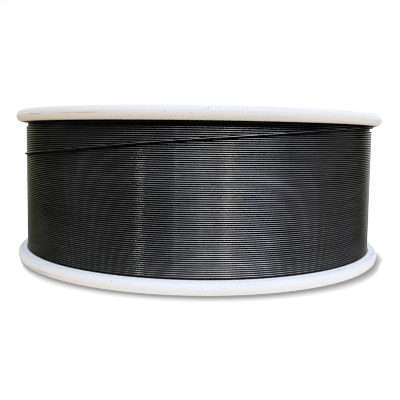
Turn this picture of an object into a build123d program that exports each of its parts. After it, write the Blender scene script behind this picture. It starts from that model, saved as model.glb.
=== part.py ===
from build123d import *
import math
import os

# Spool of 1.2 mm flux-cored welding wire, lying on its lower flange.
# Millimetres. Origin at the centre of the floor face, +Z up along the spool's axis.

# ---- driving dimensions -------------------------------------------------
FLANGE_OD = 270.0        # outside of both rims
WIDTH = 105.0            # over both flanges, along the axis
RIM_T = 8.0              # thickness of the rounded rim
RIM_W = 8.0              # radial width of the rim
RIM_ROUND = 3.8          # rounding of the rim's two outside edges
RIM_INNER_ROUND = 3.0    # rounding of the rim's edge towards the recess
WEB_T = 3.0              # flange plate; its wire side is flush with the rim
BARREL_OD = 165.0        # drum that the wire is wound on
BARREL_T = 3.0
BORE_D = 52.0            # hub bore, for a 50 mm spindle
HUB_TUBE_T = 4.0
BOSS_OD = 72.0           # thick ring around the bore at each end
BORE_EDGE = 1.0          # rounding of the bore's mouth

RIB_COUNT = 12           # radial ribs in the recess of each flange
RIB_W = 2.4
RIB_TIP = 1.2            # rib tips stand this far inside the end plane
RIB_ROUND = 0.7
RING_TIP = 1.0           # ring rib over the barrel wall, and the drive boss

DRIVE_HOLE_D = 10.5      # drive-pin hole
DRIVE_HOLE_AT = 44.5     # its distance from the axis
DRIVE_HOLE_LEN = 20.0    # length of its plain wall
DRIVE_MOUTH = 0.8        # chamfer at its mouth
DRIVE_BOSS_D = 17.0
DRIVE_FLOOR = 2.2        # closed end of the drive socket

WIRE_D = 1.2
WINDING_OD = 257.0       # over the crests of the outer layer
WINDING_BORE_GAP = 0.1   # between the drum and the first layer
TOP_STEP_H = 3.6         # last layer stops short of the upper flange
TOP_STEP_DEPTH = 1.1

# the tail's route over the winding: angle about the axis (degrees, -90 is the
# front) and height of its centre line
TAIL_ROUTE = [
    (-2.0, 96.25), (-10.0, 96.24), (-18.0, 96.20), (-24.0, 95.98),
    (-30.0, 95.48), (-37.5, 94.66),
    (-44.4, 93.78), (-51.5, 92.87), (-58.0, 91.94), (-70.0, 90.02),
    (-78.2, 88.70), (-90.0, 86.77), (-104.6, 84.06), (-115.3, 81.88),
    (-130.0, 79.00), (-138.3, 77.58), (-151.0, 75.89), (-161.4, 74.66),
    (-175.0, 73.40), (-190.0, 72.40), (-205.0, 71.70), (-220.0, 71.20),
    (-236.0, 70.90),
]
TAIL_STEP = 5.0          # degrees between the points of the swept tube
TAIL_LIFT = 0.14         # clearance that keeps the tube's chords off the winding

# ---- derived ------------------------------------------------------------
R_OUT = FLANGE_OD / 2
R_RIM_IN = R_OUT - RIM_W
R_BARREL = BARREL_OD / 2
R_BORE = BORE_D / 2
R_BOSS = BOSS_OD / 2
R_WIND = WINDING_OD / 2
MID = WIDTH / 2
Z_LOW = RIM_T                 # wire side of the lower flange
Z_HIGH = WIDTH - RIM_T        # wire side of the upper flange
Z_WEB = RIM_T - WEB_T         # recessed face of the lower flange

os.makedirs("parts", exist_ok=True)


def turned(points, rounds):
    """Solid of revolution about Z of a closed (r, z) outline with rounded corners."""
    outline = Polyline(*[(r, 0, z) for r, z in points], close=True)
    face = make_face(outline.edges()).face()
    for index, radius in rounds.items():
        r, z = points[index]
        corner = min(face.vertices(), key=lambda v: (Vector(v.X, v.Y, v.Z) - Vector(r, 0, z)).length)
        face = face.fillet_2d(radius, [corner])
    return revolve(face, Axis.Z)


# ---- one moulded half, as the lower one ---------------------------------
half_outline = [
    (R_BORE, 0), (R_BOSS, 0), (R_BOSS, Z_WEB),
    (R_BARREL - BARREL_T, Z_WEB), (R_BARREL - BARREL_T, RING_TIP),
    (R_BARREL, RING_TIP), (R_BARREL, Z_WEB),
    (R_RIM_IN, Z_WEB), (R_RIM_IN, 0), (R_OUT, 0), (R_OUT, RIM_T),
    (R_BARREL, RIM_T), (R_BARREL, MID), (R_BARREL - BARREL_T, MID),
    (R_BARREL - BARREL_T, RIM_T), (R_BORE + HUB_TUBE_T, RIM_T),
    (R_BORE + HUB_TUBE_T, MID), (R_BORE, MID),
]
half_rounds = {
    0: BORE_EDGE, 1: 1.5, 2: 1.0, 3: 0.8, 4: RIB_ROUND, 5: RIB_ROUND, 6: 0.8,
    7: 1.5, 8: RIM_INNER_ROUND, 9: RIM_ROUND, 10: RIM_ROUND, 14: 2.0, 15: 2.0,
}
half = turned(half_outline, half_rounds)

# radial ribs with rounded tips, run into the boss and the rim
rib_h = Z_WEB + 1.0 - RIB_TIP
rib_section = Plane.YZ.offset(R_BOSS - 2.0) * Pos(0, RIB_TIP + rib_h / 2) * Rectangle(RIB_W, rib_h)
low = rib_section.vertices().group_by(Axis.Z)[0]
rib_section = fillet(low, RIB_ROUND)
rib = extrude(rib_section, R_RIM_IN + 2.0 - (R_BOSS - 2.0), dir=(1, 0, 0))
ribs = [Rot(0, 0, (i + 0.5) * 360 / RIB_COUNT) * rib for i in range(RIB_COUNT)]
half = half.fuse(*ribs)

# drive-pin socket: a boss in the recess and a closed tube inside the drum
floor_z = RING_TIP + DRIVE_MOUTH + DRIVE_HOLE_LEN
r_hole = DRIVE_HOLE_D / 2
r_boss = DRIVE_BOSS_D / 2
socket = turned(
    [(0, RING_TIP), (r_boss, RING_TIP), (r_boss, floor_z + DRIVE_FLOOR), (0, floor_z + DRIVE_FLOOR)],
    {1: RIB_ROUND, 2: 1.0},
)
hole = turned(
    [(0, RING_TIP - 1), (r_hole + DRIVE_MOUTH, RING_TIP - 1), (r_hole + DRIVE_MOUTH, RING_TIP),
     (r_hole, RING_TIP + DRIVE_MOUTH), (r_hole, floor_z), (0, floor_z)],
    {},
)
half = half.fuse(Pos(DRIVE_HOLE_AT, 0, 0) * socket)
half = half.cut(Pos(DRIVE_HOLE_AT, 0, 0) * hole)
half = half.solids()[0] if len(half.solids()) == 1 else half

lower_half = half
# the same moulding turned over about X, so that the two halves meet at mid-height
upper_half = Pos(0, 0, WIDTH) * Rot(180, 0, 0) * half

# ---- the wire -----------------------------------------------------------
winding = turned(
    [
        (R_BARREL + WINDING_BORE_GAP, Z_LOW), (R_WIND, Z_LOW),
        (R_WIND, Z_HIGH - TOP_STEP_H), (R_WIND - TOP_STEP_DEPTH, Z_HIGH - TOP_STEP_H),
        (R_WIND - TOP_STEP_DEPTH, Z_HIGH), (R_BARREL + WINDING_BORE_GAP, Z_HIGH),
    ],
    {},
)


def smooth(x):
    x = min(1.0, max(0.0, x))
    return x * x * (3 - 2 * x)


def tail_height(angle):
    """Height of the route at an angle, straight between the listed points."""
    for (a0, z0), (a1, z1) in zip(TAIL_ROUTE, TAIL_ROUTE[1:]):
        if a1 <= angle <= a0:
            return z0 + (z1 - z0) * (angle - a0) / (a1 - a0)
    raise ValueError(angle)


def tail_point(angle):
    """The tail lies on the outer layer, and drops into the step at its upper end."""
    r = R_WIND + WIRE_D / 2 + TAIL_LIFT - TOP_STEP_DEPTH * smooth((angle + 14.0) / 12.0)
    a = math.radians(angle)
    return Vector(r * math.cos(a), r * math.sin(a), tail_height(angle))


first, last = TAIL_ROUTE[0][0], TAIL_ROUTE[-1][0]
count = int(round((first - last) / TAIL_STEP))
route = [tail_point(first + (last - first) * i / count) for i in range(count + 1)]
radii = []
for a, b, c in zip(route, route[1:], route[2:]):
    turn = math.radians((b - a).get_angle(c - b))
    run = min((b - a).length, (c - b).length)
    radii.append(0.45 * run / math.tan(turn / 2))
print("tail radii (mm):", round(min(radii), 1), "to", round(max(radii), 1))
tail_path = FilletPolyline(*route, radius=radii)
tail = sweep(Plane(tail_path @ 0, z_dir=tail_path % 0) * Circle(WIRE_D / 2), path=tail_path)
print(
    "tail length (mm):", round(tail_path.length, 1),
    "volume over section times length:",
    round(tail.volume / (tail_path.length * math.pi * WIRE_D**2 / 4), 4),
)

# ---- one file per piece -------------------------------------------------
for name, shape in {
    "lower_spool_half": lower_half,
    "upper_spool_half": upper_half,
    "wire_winding": winding,
    "wire_tail": tail,
}.items():
    export_step(shape, f"parts/{name}.step")
    print(name, "volume cm3", round(shape.volume / 1000, 1))
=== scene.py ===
import math

import bpy
import numpy as np
from mathutils import Matrix, Vector


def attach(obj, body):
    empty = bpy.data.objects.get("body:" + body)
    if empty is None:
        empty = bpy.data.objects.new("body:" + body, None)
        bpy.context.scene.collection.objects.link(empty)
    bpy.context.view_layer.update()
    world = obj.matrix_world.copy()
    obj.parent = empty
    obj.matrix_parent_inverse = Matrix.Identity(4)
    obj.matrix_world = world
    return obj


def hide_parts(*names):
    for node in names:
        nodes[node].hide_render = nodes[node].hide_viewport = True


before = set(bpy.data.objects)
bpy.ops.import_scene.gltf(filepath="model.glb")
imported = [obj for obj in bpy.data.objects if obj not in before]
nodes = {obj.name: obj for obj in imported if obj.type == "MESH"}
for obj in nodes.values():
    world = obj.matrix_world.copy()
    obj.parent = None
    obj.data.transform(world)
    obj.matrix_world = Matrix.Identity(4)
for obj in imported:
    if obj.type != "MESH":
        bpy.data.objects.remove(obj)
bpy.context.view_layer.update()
scene = bpy.context.scene

# ------------------------------------------------------------------ sizes (m)
MM = 0.001
R_RIM = 135.0 * MM            # outside of the rims
WIDTH = 105.0 * MM            # over both flanges
Z_LOW, Z_HIGH = 8.0 * MM, 97.0 * MM   # wire sides of the flanges
WIRE_R = 0.6 * MM
PITCH = 1.2 * MM
R_LAYER = 127.9 * MM          # centre line of the outer layer
R_UNDER = 126.86 * MM         # centre line of the layer below it
R_DRUM = 82.6 * MM
Z_LAST = 93.5 * MM            # last level turn of the outer layer
rng = np.random.default_rng(41)


# ------------------------------------------------------------------ mesh help
def new_mesh(name, verts, faces, smooth=True):
    me = bpy.data.meshes.new(name)
    me.from_pydata([tuple(v) for v in verts], [], faces)
    me.validate()
    me.update()
    me.shade_smooth() if smooth else me.shade_flat()
    ob = bpy.data.objects.new(name, me)
    scene.collection.objects.link(ob)
    return ob


def tube(centre, out, up, section):
    """Closed tube along centre points; section holds (outward, upward) offsets."""
    n, k = len(centre), len(section)
    pts = (
        centre[:, None, :]
        + section[None, :, 0, None] * out[:, None, :]
        + section[None, :, 1, None] * up[:, None, :]
    ).reshape(-1, 3)
    i = np.arange(n - 1)[:, None] * k
    j = np.arange(k)[None, :]
    a, b = i + j, i + (j + 1) % k
    quads = np.stack([a, b, b + k, a + k], -1).reshape(-1, 4)
    faces = [tuple(q) for q in quads.tolist()]
    faces.append(tuple(range(k - 1, -1, -1)))
    faces.append(tuple(range((n - 1) * k, n * k)))
    return pts, faces


def lathe(profile, count):
    """Closed ring of a closed (r, z) outline, given so that its faces look outwards."""
    p = np.asarray(profile, float)
    k = len(p)
    t = np.linspace(0, 2 * np.pi, count, endpoint=False)
    pts = np.stack(
        [
            p[None, :, 0] * np.cos(t)[:, None],
            p[None, :, 0] * np.sin(t)[:, None],
            np.repeat(p[None, :, 1], count, 0),
        ],
        -1,
    ).reshape(-1, 3)
    i = np.arange(count)[:, None]
    j = np.arange(k)[None, :]
    a, b = i * k + j, i * k + (j + 1) % k
    i2 = (i + 1) % count
    c, d = i2 * k + (j + 1) % k, i2 * k + j
    return pts, [tuple(q) for q in np.stack([a, d, c, b], -1).reshape(-1, 4).tolist()]


def wobble(t, step, size):
    """Smooth seeded noise along t, with a knot every step."""
    lo = t.min() - 2 * step
    knots = np.arange(lo, t.max() + 3 * step, step)
    vals = rng.normal(0, 1, len(knots))
    x = (t - lo) / step
    i = np.clip(np.floor(x).astype(int), 1, len(knots) - 3)
    f = x - i
    p0, p1, p2, p3 = (vals[i + d] for d in (-1, 0, 1, 2))
    return size * (
        p1 + 0.5 * f * (p2 - p0 + f * (2 * p0 - 5 * p1 + 4 * p2 - p3 + f * (3 * (p1 - p2) + p3 - p0)))
    )


def ease(x):
    x = np.clip(x, 0, 1)
    return x * x * (3 - 2 * x)


def join(name, parts):
    verts, faces, base = [], [], 0
    for v, f in parts:
        verts.append(v)
        faces += [tuple(i + base for i in q) for q in f]
        base += len(v)
    return new_mesh(name, np.concatenate(verts), faces)


def around(theta, r, z):
    c, s = np.cos(theta), np.sin(theta)
    centre = np.stack([r * c, r * s, z], -1)
    out = np.stack([c, s, np.zeros_like(c)], -1)
    up = np.repeat(np.array([[0.0, 0.0, 1.0]]), len(theta), 0)
    return centre, out, up


# ------------------------------------------------------------------ the winding
# Level turns of the outer layer: one wire that climbs clockwise from the lower flange,
# and at its end rises into the gap that the layer leaves under the upper flange.
SEG = 144
D_SECTION = np.array(
    [(WIRE_R * math.cos(math.radians(a)), WIRE_R * math.sin(math.radians(a))) for a in range(-90, 91, 30)]
    + [(-0.45 * MM, 0.0)]
)

turns = (Z_LAST - (Z_LOW + WIRE_R)) / PITCH
END = math.radians(170.0)                       # where the last level turn stops
lead = math.radians(172.0)                      # its run up to the tail, to -2 degrees
START = END + 2 * math.pi * turns
count = int(turns * SEG)
total = np.concatenate(
    [
        np.linspace(0, 2 * math.pi * turns, count, endpoint=False),
        2 * math.pi * turns + np.linspace(0, lead, 80),
    ]
)
theta = START - total
turn_no = total / (2 * math.pi)
z = Z_LOW + WIRE_R + PITCH * np.minimum(turn_no, turns)
r = np.full_like(z, R_LAYER)
past = np.clip((total - 2 * math.pi * turns) / lead, 0, 1)
z += (Z_HIGH - WIRE_R - 0.15 * MM - Z_LAST) * ease(past / 0.8)
r += (R_UNDER + 1.08 * MM - R_LAYER) * ease(past / 0.5)
r -= 1.0 * MM * (1 - ease(total / 0.6))         # it comes up out of the layer below
level = (1 - past) * ease(total / 0.6)
z += level * (wobble(total, 1.7, 0.010 * MM) + wobble(total, 9.0, 0.012 * MM))
r += level * (wobble(total, 1.1, 0.016 * MM) + wobble(total, 5.3, 0.022 * MM))
winding_parts = [tube(*around(theta, r, z), D_SECTION)]

# the layer below shows in the gap under the upper flange
under_total = np.linspace(0, 2 * math.pi * 2.4, int(2.4 * SEG))
under_z = Z_HIGH - WIRE_R - 0.05 * MM - PITCH * under_total / (2 * math.pi)
under_r = R_UNDER + wobble(under_total, 1.3, 0.02 * MM)
winding_parts.append(tube(*around(under_total + 0.4, under_r, under_z), D_SECTION))

# everything deeper is one ring
core = [
    (R_DRUM, Z_LOW + 0.02 * MM),
    (R_LAYER - 0.12 * MM, Z_LOW + 0.02 * MM),
    (R_LAYER - 0.12 * MM, Z_LAST + 0.1 * MM),
    (R_UNDER - 0.12 * MM, Z_LAST + 0.3 * MM),
    (R_UNDER - 0.12 * MM, Z_HIGH - 0.02 * MM),
    (R_DRUM, Z_HIGH - 0.02 * MM),
]
winding_parts.append(lathe(core, SEG))
winding = join("winding", winding_parts)

# ------------------------------------------------------------------ the tail
# Route over the winding: angle about the axis (degrees, -90 faces the camera),
# height and centre radius (mm).
TAIL = np.array(
    [
        (0.0, 96.25, 127.94), (-10.0, 96.24, 128.70), (-18.0, 96.20, 129.05), (-24.0, 95.98, 129.08),
        (-30.0, 95.48, 129.08), (-37.5, 94.66, 129.08), (-44.4, 93.78, 129.08), (-51.5, 92.87, 129.08),
        (-58.0, 91.94, 129.05), (-70.0, 90.02, 129.08), (-78.2, 88.70, 129.06), (-90.0, 86.77, 129.08),
        (-104.6, 84.06, 129.05), (-115.3, 81.88, 129.08), (-130.0, 79.00, 129.06), (-138.3, 77.58, 129.07),
        (-151.0, 75.89, 129.08), (-161.4, 74.66, 129.08), (-175.0, 73.40, 129.08), (-190.0, 72.40, 129.05),
        (-205.0, 71.70, 129.00), (-220.0, 71.20, 128.60), (-236.0, 70.90, 127.60),
    ]
)


def through(knots, x):
    """Smooth curve through knots (first column falling), evaluated at x."""
    k = knots[::-1]
    kx, ky = k[:, 0], k[:, 1:]
    m = np.gradient(ky, kx, axis=0)
    i = np.clip(np.searchsorted(kx, x) - 1, 0, len(kx) - 2)
    h = (kx[i + 1] - kx[i])[:, None]
    f = ((x - kx[i])[:, None]) / h
    return (
        (2 * f**3 - 3 * f**2 + 1) * ky[i]
        + (f**3 - 2 * f**2 + f) * h * m[i]
        + (-2 * f**3 + 3 * f**2) * ky[i + 1]
        + (f**3 - f**2) * h * m[i + 1]
    )


deg = np.linspace(TAIL[0, 0], TAIL[-1, 0], 221)
zr = through(TAIL, deg)
tail_theta = np.radians(deg)
centre, out, up = around(tail_theta, zr[:, 1] * MM, zr[:, 0] * MM)
run = np.gradient(centre, axis=0)
run /= np.linalg.norm(run, axis=1)[:, None]
up = np.cross(out, run)
up *= np.sign(up[:, 2:3])
up /= np.linalg.norm(up, axis=1)[:, None]
ROUND = np.array([(WIRE_R * math.cos(a), WIRE_R * math.sin(a)) for a in np.linspace(0, 2 * math.pi, 14, endpoint=False)])
tail = join("tail", [tube(centre, out, up, ROUND)])


# ------------------------------------------------------------------ materials
class Nodes:
    """Short way to write a node tree."""

    def __init__(self, block, shader=None):
        self.block = block
        block.use_nodes = True
        self.tree = block.node_tree
        self.tree.nodes.clear()
        if isinstance(block, bpy.types.World):
            self.out = self.add("ShaderNodeOutputWorld")
        else:
            self.out = self.add("ShaderNodeOutputMaterial")
        if shader:
            self.bsdf = self.add(shader)
            self.link(self.bsdf.outputs[0], self.out.inputs[0])

    def add(self, kind, **props):
        n = self.tree.nodes.new(kind)
        for key, value in props.items():
            setattr(n, key, value)
        return n

    def link(self, source, target):
        self.tree.links.new(source, target)

    def coords(self, scale):
        tc = self.add("ShaderNodeTexCoord")
        mp = self.add("ShaderNodeMapping")
        mp.inputs["Scale"].default_value = scale
        self.link(tc.outputs["Object"], mp.inputs["Vector"])
        return mp.outputs["Vector"]

    def noise(self, vector, scale=1.0, detail=2.0, rough=0.5, distortion=0.0):
        n = self.add("ShaderNodeTexNoise")
        n.inputs["Scale"].default_value = scale
        n.inputs["Detail"].default_value = detail
        n.inputs["Roughness"].default_value = rough
        n.inputs["Distortion"].default_value = distortion
        self.link(vector, n.inputs["Vector"])
        return n.outputs["Fac"]

    def ramp(self, fac, stops):
        n = self.add("ShaderNodeValToRGB")
        el = n.color_ramp.elements
        while len(el) < len(stops):
            el.new(0.5)
        for e, (pos, col) in zip(el, stops):
            e.position = pos
            e.color = (*col, 1.0) if hasattr(col, "__len__") else (col, col, col, 1.0)
        self.link(fac, n.inputs["Fac"])
        return n.outputs["Color"]

    def mix(self, fac, a, b, mode="MIX"):
        n = self.add("ShaderNodeMix", data_type="RGBA", blend_type=mode)
        fac_in = n.inputs[0]
        a_in, b_in = n.inputs[6], n.inputs[7]
        for sock, val in ((fac_in, fac), (a_in, a), (b_in, b)):
            if isinstance(val, bpy.types.NodeSocket):
                self.link(val, sock)
            elif hasattr(val, "__len__"):
                sock.default_value = (*val, 1.0)
            else:
                sock.default_value = val
        return n.outputs[2]

    def math(self, op, a, b=0.0, clamp=False):
        n = self.add("ShaderNodeMath", operation=op, use_clamp=clamp)
        for sock, val in ((n.inputs[0], a), (n.inputs[1], b)):
            if isinstance(val, bpy.types.NodeSocket):
                self.link(val, sock)
            else:
                sock.default_value = val
        return n.outputs[0]

    def step(self, value, low, high):
        n = self.add("ShaderNodeMapRange", interpolation_type="SMOOTHSTEP", clamp=True)
        self.link(value, n.inputs["Value"])
        n.inputs["From Min"].default_value = low
        n.inputs["From Max"].default_value = high
        return n.outputs["Result"]

    def bump(self, height, strength, distance, normal=None):
        n = self.add("ShaderNodeBump")
        n.inputs["Strength"].default_value = strength
        n.inputs["Distance"].default_value = distance
        self.link(height, n.inputs["Height"])
        if normal is not None:
            self.link(normal, n.inputs["Normal"])
        return n.outputs["Normal"]


def wire_material():
    m = Nodes(bpy.data.materials.new("drawn_wire"), "ShaderNodeBsdfPrincipled")
    along = m.coords((55.0, 55.0, 830.0))       # long along the wire, about a turn across
    streak = m.noise(along, 1.0, 3.0, 0.55)
    patch = m.noise(m.coords((22.0, 22.0, 60.0)), 1.0, 3.0, 0.5)
    tone = m.ramp(streak, [(0.30, (0.062, 0.062, 0.061)), (0.55, (0.082, 0.082, 0.082)), (0.75, (0.102, 0.103, 0.104))])
    film = m.ramp(patch, [(0.35, 0.82), (0.65, 1.1)])
    m.link(m.mix(1.0, tone, film, "MULTIPLY"), m.bsdf.inputs["Base Color"])
    m.bsdf.inputs["Metallic"].default_value = 1.0
    m.bsdf.inputs["Specular Tint"].default_value = (0.35, 0.35, 0.34, 1.0)
    fine = m.noise(m.coords((60.0, 60.0, 2400.0)), 1.0, 2.0, 0.6)
    m.link(m.math("ADD", m.math("MULTIPLY", fine, 0.05), 0.085), m.bsdf.inputs["Roughness"])
    drawing = m.noise(m.coords((40.0, 40.0, 9000.0)), 1.0, 2.0, 0.6)
    m.link(m.bump(drawing, 0.05, 0.00002), m.bsdf.inputs["Normal"])
    return m.block


def plastic_material():
    m = Nodes(bpy.data.materials.new("moulded_plastic"), "ShaderNodeBsdfPrincipled")
    obj = m.coords((1.0, 1.0, 1.0))
    cloud = m.noise(obj, 9.0, 3.0, 0.5)
    streak = m.noise(m.coords((26.0, 26.0, 520.0)), 1.0, 4.0, 0.6)
    speck = m.noise(obj, 420.0, 2.0, 0.5)
    scuff = m.noise(m.coords((60.0, 60.0, 900.0)), 1.0, 3.0, 0.65, 0.6)
    base = m.ramp(cloud, [(0.35, (0.776, 0.781, 0.786)), (0.65, (0.757, 0.752, 0.742))])
    streaks = m.ramp(streak, [(0.56, 1.0), (0.74, 0.90)])
    base = m.mix(1.0, base, streaks, "MULTIPLY")
    specks = m.ramp(speck, [(0.735, 1.0), (0.765, 0.45)])
    base = m.mix(1.0, base, specks, "MULTIPLY")
    scuffs = m.ramp(scuff, [(0.66, 1.0), (0.72, 0.80)])
    base = m.mix(1.0, base, scuffs, "MULTIPLY")
    place = m.add("ShaderNodeSeparateXYZ")
    m.link(obj, place.inputs[0])
    radius = m.math("SQRT", m.math("ADD", m.math("POWER", place.outputs[0], 2.0), m.math("POWER", place.outputs[1], 2.0)))
    # painted shade: the upper flange's inner face above the winding is darkened as if in shadow, so the turns below
    # mirror it dark
    underside_painted_shade = m.math("MULTIPLY", m.step(radius, 132.2 * MM, 130.2 * MM), m.step(place.outputs[2], 98.6 * MM, 97.6 * MM))
    underside_painted_shade = m.math("MULTIPLY", underside_painted_shade, m.step(place.outputs[2], 90.0 * MM, 96.0 * MM))
    base = m.mix(underside_painted_shade, base, (0.16, 0.155, 0.145))
    # painted light: the inner face of the lower flange is made whiter than the rims, to lift the shade that the winding
    # and the upper flange cast on it
    ledge_painted_light = m.math("MULTIPLY", m.step(radius, 132.6 * MM, 130.6 * MM), m.step(place.outputs[2], 6.5 * MM, 7.8 * MM))
    ledge_painted_light = m.math("MULTIPLY", ledge_painted_light, m.step(place.outputs[2], 14.0 * MM, 9.0 * MM))
    base = m.mix(ledge_painted_light, base, (0.985, 0.99, 1.0))
    # and is dark right beside the winding: painted shade in the crease, with some dark film from the wire
    crease_shade_and_dirt = m.math("MULTIPLY", m.step(radius, 129.35 * MM, 128.85 * MM), ledge_painted_light)
    base = m.mix(crease_shade_and_dirt, base, (0.12, 0.12, 0.13))
    # dirt has settled here and there along the upper rim's parting line
    seam = m.math("MULTIPLY", m.step(place.outputs[2], 100.2 * MM, 100.6 * MM), m.step(place.outputs[2], 101.3 * MM, 100.9 * MM))
    seam = m.math("MULTIPLY", seam, m.step(radius, 133.0 * MM, 134.0 * MM))
    dirt = m.noise(m.coords((38.0, 38.0, 38.0)), 1.0, 3.0, 0.6)
    dirt = m.math("MULTIPLY", m.step(dirt, 0.46, 0.60), m.step(place.outputs[0], -46.0 * MM, -66.0 * MM))
    seam = m.math("MULTIPLY", seam, dirt)
    base = m.mix(seam, base, (0.62, 0.55, 0.51))
    # the foot of the lower rim is darker and tan, in streaks, at its left end
    foot_darkening = m.math("MULTIPLY", m.step(place.outputs[2], 4.6 * MM, 2.4 * MM), m.step(radius, 128.5 * MM, 130.5 * MM))
    foot_darkening = m.math("MULTIPLY", foot_darkening, m.step(place.outputs[0], -62.0 * MM, -100.0 * MM))
    foot_darkening = m.math("MULTIPLY", foot_darkening, m.step(m.noise(m.coords((24.0, 24.0, 420.0)), 1.0, 3.0, 0.6), 0.36, 0.62))
    base = m.mix(foot_darkening, base, (0.56, 0.49, 0.45))
    m.link(base, m.bsdf.inputs["Base Color"])
    rough = m.ramp(streak, [(0.3, 0.48), (0.7, 0.62)])
    m.link(rough, m.bsdf.inputs["Roughness"])
    m.bsdf.inputs["IOR"].default_value = 1.5
    m.bsdf.inputs["Specular IOR Level"].default_value = 0.03
    grain = m.noise(obj, 1400.0, 2.0, 0.5)
    wave = m.noise(m.coords((12.0, 12.0, 80.0)), 1.0, 2.0, 0.5)
    n = m.bump(wave, 0.25, 0.0004)
    m.link(m.bump(grain, 0.10, 0.00006, n), m.bsdf.inputs["Normal"])
    return m.block


wire = wire_material()
plastic = plastic_material()
for name in ("lower_spool_half", "upper_spool_half"):
    me = nodes[name].data
    me.materials.clear()
    me.materials.append(plastic)
for ob, node in ((winding, "wire_winding"), (tail, "wire_tail")):
    ob.data.materials.append(wire)
    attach(ob, "root")
    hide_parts(node)

# ------------------------------------------------------------------ floor
floor_pts, floor_faces = lathe([(0.0001, 0.0), (0.0001, -0.02), (6.0, -0.02), (6.0, 0.0)], 64)
floor = new_mesh("floor", floor_pts, floor_faces, smooth=False)


SHADOW = [  # bearing from the front (degrees, right is positive), reach of the floor's shadow in mm
    (-180, 3.0), (-75, 1.0), (-62, 1.6), (-53, 4.6), (-45, 8.5), (-38, 10.8), (-20, 11.6), (20, 11.8), (38, 11.4),
    (47, 9.4), (56, 7.4), (66, 5.0), (72, 5.8), (78, 8.0), (90, 8.3), (110, 6.0), (180, 3.0),
]


def floor_material():
    """Plain white with a soft contact shadow; the light that it sends up to the plastic is cream."""
    m = Nodes(bpy.data.materials.new("pale_floor"))
    near = m.add("ShaderNodeAmbientOcclusion", samples=16)
    lean = m.add("ShaderNodeCombineXYZ")
    for sock, val in zip(lean.inputs, (-0.24, 0.31, 1.0)):
        sock.default_value = val
    m.link(lean.outputs[0], near.inputs["Normal"])
    place = m.add("ShaderNodeTexCoord")
    far = m.add("ShaderNodeVectorMath", operation="LENGTH")
    m.link(place.outputs["Object"], far.inputs[0])
    side = m.add("ShaderNodeSeparateXYZ")
    m.link(place.outputs["Object"], side.inputs[0])
    # the shadow is widest in front and to the right
    bearing = m.math("ARCTAN2", side.outputs[0], m.math("MULTIPLY", side.outputs[1], -1.0))
    bearing = m.math("ADD", m.math("DIVIDE", bearing, 2 * math.pi), 0.5)
    reach = m.ramp(bearing, [(0.5 + a / 360, v / 20.0) for a, v in SHADOW])
    m.link(m.math("MULTIPLY", reach, 20.0 * MM), near.inputs["Distance"])
    shade = m.ramp(near.outputs["AO"], [(0.30, 0.34), (0.60, 0.51), (0.80, 0.80), (0.93, 1.02)])
    seen = m.add("ShaderNodeEmission")
    m.link(shade, seen.inputs["Color"])
    sent = m.add("ShaderNodeEmission")
    across = m.math("ADD", m.math("DIVIDE", side.outputs[0], 0.6), 0.5)
    glow = m.ramp(far.outputs["Value"], [(0.145, (0.95, 0.93, 0.93)), (0.20, (0.78, 0.735, 0.685)), (0.30, (0.75, 0.68, 0.59))])
    glow = m.mix(1.0, glow, m.ramp(across, [(0.1, (0.85, 0.68, 0.48)), (0.5, (0.90, 0.885, 0.85)), (0.9, (1.12, 1.12, 1.13))]), "MULTIPLY")
    m.link(glow, sent.inputs["Color"])
    sent.inputs["Strength"].default_value = 1.38
    dim = m.add("ShaderNodeEmission")
    # what the wire mirrors of it: dark in front, paler at the sides and near the spool
    aside = m.math("MULTIPLY", m.math("ABSOLUTE", m.math("SUBTRACT", bearing, 0.5)), 2.0)
    pale = m.ramp(aside, [(0.0, 0.006), (0.14, 0.006), (0.33, 0.24), (0.6, 0.34), (1.0, 0.20)])
    m.link(m.mix(1.0, pale, m.ramp(far.outputs["Value"], [(0.14, 1.0), (0.23, 0.45), (0.45, 0.10)]), "MULTIPLY"), dim.inputs["Color"])
    path = m.add("ShaderNodeLightPath")
    glossy = m.add("ShaderNodeMixShader")
    m.link(path.outputs["Is Glossy Ray"], glossy.inputs[0])
    m.link(sent.outputs[0], glossy.inputs[1])
    m.link(dim.outputs[0], glossy.inputs[2])
    camera = m.add("ShaderNodeMixShader")
    m.link(path.outputs["Is Camera Ray"], camera.inputs[0])
    m.link(glossy.outputs[0], camera.inputs[1])
    m.link(seen.outputs[0], camera.inputs[2])
    m.link(camera.outputs[0], m.out.inputs[0])
    m.block.cycles.emission_sampling = "NONE"
    return m.block


floor.data.materials.append(floor_material())

# ------------------------------------------------------------------ light
# A soft white room. Bare wire mirrors its window band, which is strongest to the right of
# the middle, and its dim walls; the camera itself sees plain white.
KEY = 18.6
WARM, PLAIN, COOL, COLD = (1.01, 1.0, 0.985), (1.0, 1.0, 1.0), (0.965, 0.98, 1.055), (0.95, 0.98, 1.12)
BAND = [  # azimuth from the front (degrees, right is positive), strength of the band, tint
    (-140, 0.13, PLAIN), (-115, 0.150, PLAIN), (-95, 0.120, PLAIN), (-78, 0.130, PLAIN), (-64, 0.143, PLAIN), (-51, 0.228, PLAIN),
    (-44, 0.245, PLAIN), (-36.5, 0.335, PLAIN),
    (-27.6, 0.322, COOL), (-18.5, 0.415, COOL), (-17, 0.46, COOL), (-16.2, 1.45, PLAIN), (-15.3, 0.50, COOL),
    (-5.8, 0.735, COOL), (-0.6, 0.80, COOL), (0.9, 1.0, PLAIN), (14, 0.91, PLAIN), (18.5, 1.27, WARM),
    (22, 1.62, WARM), (25, 1.16, WARM), (28, 1.04, PLAIN), (38, 0.97, COLD), (50, 0.90, COLD),
    (62.5, 0.58, COLD), (71, 0.385, COLD), (83, 0.345, COLD), (98, 0.32, COOL), (112, 0.25, PLAIN), (140, 0.23, PLAIN),
]
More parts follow.
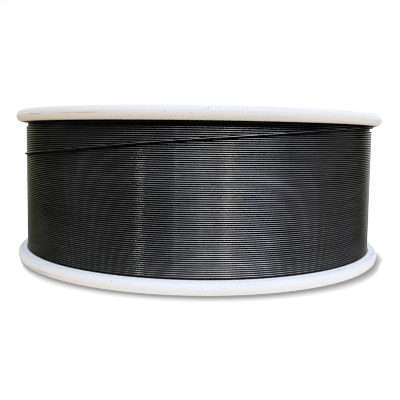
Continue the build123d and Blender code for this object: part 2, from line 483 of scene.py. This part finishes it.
HEIGHT = [  # sine of elevation, strength
    (0.0, 0.0), (0.50, 0.0), (0.60, 1.0), (0.72, 1.0), (0.80, 0.12), (0.88, 0.12),
    (0.92, (0.47, 0.50, 0.62)), (0.975, (0.47, 0.50, 0.62)), (0.99, 0.0),   # the flange hides this from the upper turns
]
FAN = 110.0     # degrees that the band's table covers


def column(azimuth):
    """Where an azimuth at mid-height falls in the band; its uprights lean so that each stays on one column of the turns."""
    a = math.radians(azimuth)
    return 0.5 + math.degrees(math.atan2(0.755 * math.sin(a), 0.755 * math.cos(a) + 1.0)) / FAN


LAMP = 58.0     # a small high light on the left, which the upper flange hides from the top turns
LAMP_SIDE = [(-66.6, 0.0), (-63.2, 0.6), (-61.1, 1.0), (-59, 0.6), (-55.6, 0.0)]      # azimuth at mid-height, strength
LAMP_TOP = [(0.848, 0.0), (0.866, 1.0), (0.887, 1.0), (0.903, 0.0)]             # sine of elevation, strength
LAMP_LEAN = 236.0   # degrees of azimuth for a unit of height
WALL = [  # azimuth, colour of the dim walls at the sides and the back
    (-180, (1.6, 1.6, 1.25)), (-150, (1.6, 1.6, 1.25)), (-135, (3.4, 3.4, 2.7)), (-127, (2.4, 2.4, 1.9)), (-119, (0.9, 0.9, 0.72)),
    (-110, (0.72, 0.72, 0.65)), (-100, (0.62, 0.62, 0.57)), (-88, (0.12, 0.12, 0.12)), (-75, (0.0, 0.0, 0.0)),
    (75, (0.0, 0.0, 0.0)), (86, (0.45, 0.45, 0.48)), (94, (1.5, 1.5, 1.6)), (105, (1.85, 1.85, 2.02)), (113, (2.35, 2.35, 2.54)), (121, (2.45, 2.45, 2.55)),
    (132, (3.2, 3.2, 3.25)), (143, (4.5, 4.5, 4.5)), (152, (4.3, 4.3, 4.2)), (165, (2.2, 2.2, 2.1)), (180, (1.6, 1.6, 1.45)),
]
WALL_TOP = [(0.0, 0.0), (0.04, 0.3), (0.10, 1.0), (0.35, 1.0), (0.55, 0.15), (1.0, 0.0)]
SOFTBOX = 2.35
BOX_TOP = [(0.45, 0.0), (0.72, 1.0), (0.97, 0.95), (1.0, 0.85)]     # sine of elevation, strength of the soft light above the front
BOX_SIDE = [(-110, 0.0), (-75, 0.6), (-40, 1.0), (40, 0.96), (85, 0.56), (115, 0.0)]
SKY = [(0.0, (0.435, 0.465, 0.515)), (0.3, (0.38, 0.405, 0.445)), (1.0, (0.295, 0.305, 0.325))]   # light from all round
ROUND_ABOUT = [  # azimuth, tint of the light from all round
    (-180, (0.30, 0.30, 0.30)), (-140, (0.36, 0.34, 0.31)), (-95, (0.80, 0.73, 0.61)), (-30, (1.0, 0.98, 0.95)),
    (30, (1.22, 1.22, 1.22)), (90, (1.9, 1.9, 1.9)), (125, (0.7, 0.7, 0.7)), (180, (0.30, 0.30, 0.30)),
]


def room():
    m = Nodes(bpy.data.worlds.new("studio"))
    tc = m.add("ShaderNodeTexCoord")
    xyz = m.add("ShaderNodeSeparateXYZ")
    m.link(tc.outputs["Generated"], xyz.inputs[0])
    az = m.math("ARCTAN2", xyz.outputs[0], m.math("MULTIPLY", xyz.outputs[1], -1.0))
    turn = m.math("ADD", m.math("DIVIDE", az, 2 * math.pi), 0.5)
    upright = m.math("ARCTAN2", xyz.outputs[0], m.math("SUBTRACT", 1.0, xyz.outputs[1]))
    upright = m.math("ADD", m.math("DIVIDE", upright, math.radians(FAN)), 0.5)
    band = m.ramp(upright, [(column(a), tuple(v * c / 2.0 for c in tint)) for a, v, tint in BAND])
    height = m.ramp(xyz.outputs[2], HEIGHT)
    window = m.mix(1.0, m.mix(1.0, band, height, "MULTIPLY"), (KEY * 2.0,) * 3, "MULTIPLY")
    wall = m.mix(1.0, m.ramp(turn, [(0.5 + a / 360, tuple(c / 5.0 for c in v)) for a, v in WALL]), m.ramp(xyz.outputs[2], WALL_TOP), "MULTIPLY")
    wall = m.mix(1.0, wall, (5.0,) * 3, "MULTIPLY")
    tilt = m.math("MULTIPLY", m.math("SUBTRACT", xyz.outputs[2], 0.875), LAMP_LEAN / 360)
    lamp = m.ramp(m.math("ADD", turn, tilt), [(0.5 + a / 360, v) for a, v in LAMP_SIDE])
    lamp = m.mix(1.0, m.mix(1.0, lamp, m.ramp(xyz.outputs[2], LAMP_TOP), "MULTIPLY"), (LAMP,) * 3, "MULTIPLY")
    mirrored = m.mix(1.0, m.mix(1.0, window, wall, "ADD"), lamp, "ADD")
    box = m.mix(1.0, m.ramp(xyz.outputs[2], BOX_TOP), m.ramp(turn, [(0.5 + a / 360, v / 1.2) for a, v in BOX_SIDE]), "MULTIPLY")
    box = m.mix(1.0, box, tuple(1.2 * SOFTBOX * c for c in (0.895, 0.985, 1.13)), "MULTIPLY")
    tint = m.ramp(turn, [(0.5 + a / 360, tuple(c / 3.0 for c in v)) for a, v in ROUND_ABOUT])
    sky = m.mix(1.0, m.mix(1.0, m.ramp(xyz.outputs[2], SKY), tint, "MULTIPLY"), (3.0,) * 3, "MULTIPLY")
    soft = m.mix(1.0, box, sky, "ADD")
    path = m.add("ShaderNodeLightPath")
    glow = m.mix(path.outputs["Is Glossy Ray"], soft, mirrored)
    colour = m.mix(path.outputs["Is Camera Ray"], glow, (1.0, 1.0, 1.0))
    bg = m.add("ShaderNodeBackground")
    m.link(colour, bg.inputs["Color"])
    m.link(bg.outputs[0], m.out.inputs[0])
    return m.block


scene.world = room()

scene.view_settings.view_transform = "Standard"
scene.view_settings.look = "None"
scene.cycles.filter_width = 1.1     # the turns are only about two pixels high
scene.cycles.denoising_input_passes = "RGB_ALBEDO"  # mirrored normals would smear the turns together

# ------------------------------------------------------------------ camera
cam_data = bpy.data.cameras.new("camera")
cam = bpy.data.objects.new("camera", cam_data)
scene.collection.objects.link(cam)
cam_data.sensor_width = 36.0
cam_data.sensor_fit = "HORIZONTAL"
cam_data.lens = 49.171
cam_data.shift_y = -0.03706
cam_data.clip_start, cam_data.clip_end = 0.01, 50.0
pitch, yaw, roll = math.radians(4.9486), math.radians(0.1636), math.radians(0.7781)
forward = Vector((math.sin(yaw) * math.cos(pitch), math.cos(yaw) * math.cos(pitch), -math.sin(pitch)))
right = forward.cross(Vector((0, 0, 1))).normalized()
above = right.cross(forward).normalized()
right, above = (
    math.cos(roll) * right + math.sin(roll) * above,
    -math.sin(roll) * right + math.cos(roll) * above,
)
cam.matrix_world = Matrix(
    (
        (right.x, above.x, -forward.x, 0.0),
        (right.y, above.y, -forward.y, -0.42853),
        (right.z, above.z, -forward.z, 0.08733),
        (0, 0, 0, 1),
    )
)
scene.camera = cam
